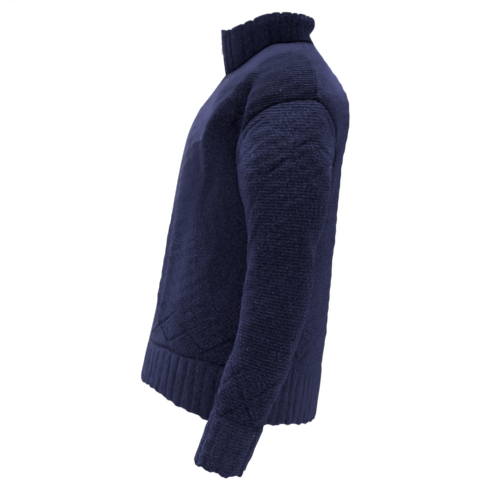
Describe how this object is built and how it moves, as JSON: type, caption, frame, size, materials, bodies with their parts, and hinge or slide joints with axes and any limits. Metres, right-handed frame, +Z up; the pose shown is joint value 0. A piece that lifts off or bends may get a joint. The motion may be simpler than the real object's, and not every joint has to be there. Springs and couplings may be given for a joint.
{
  "type": "zip-up cardigan",
  "caption": "Chunky knitted zip-up cardigan with a tall ribbed stand collar, ribbed hem and cuffs, filled out with no wearer.",
  "frame": {"origin": "middle of the neck opening at the height of the high shoulder points, where the wearer carries the garment", "axes": "+X towards the wearer's left, -Y ahead of the wearer, +Z up"},
  "size_m": [0.673, 0.3729, 0.7642],
  "materials": {
    "wool": "soft woolly knit",
    "tape": "woven",
    "metal": "satin"
  },
  "bodies": {
    "garment": {"back": "wool", "front_left": "wool", "front_right": "wool", "sleeve_left": "wool", "sleeve_right": "wool", "collar": "wool", "zip_tape_left": "tape", "zip_tape_right": "tape", "zip_chain": "metal", "zip_chain_left": "metal", "zip_chain_right": "metal", "zip_bottom_box": "metal", "zip_slider": "metal"},
    "pull": {"zip_pull": "metal"}
  },
  "joints": [
    {"name": "pull_swing", "type": "hinge", "parent": "garment", "child": "pull", "pos_m": [0, -0.09236, 0.01694], "axis": [-1, 0, 0], "range_deg": [0, 150]}
  ]
}
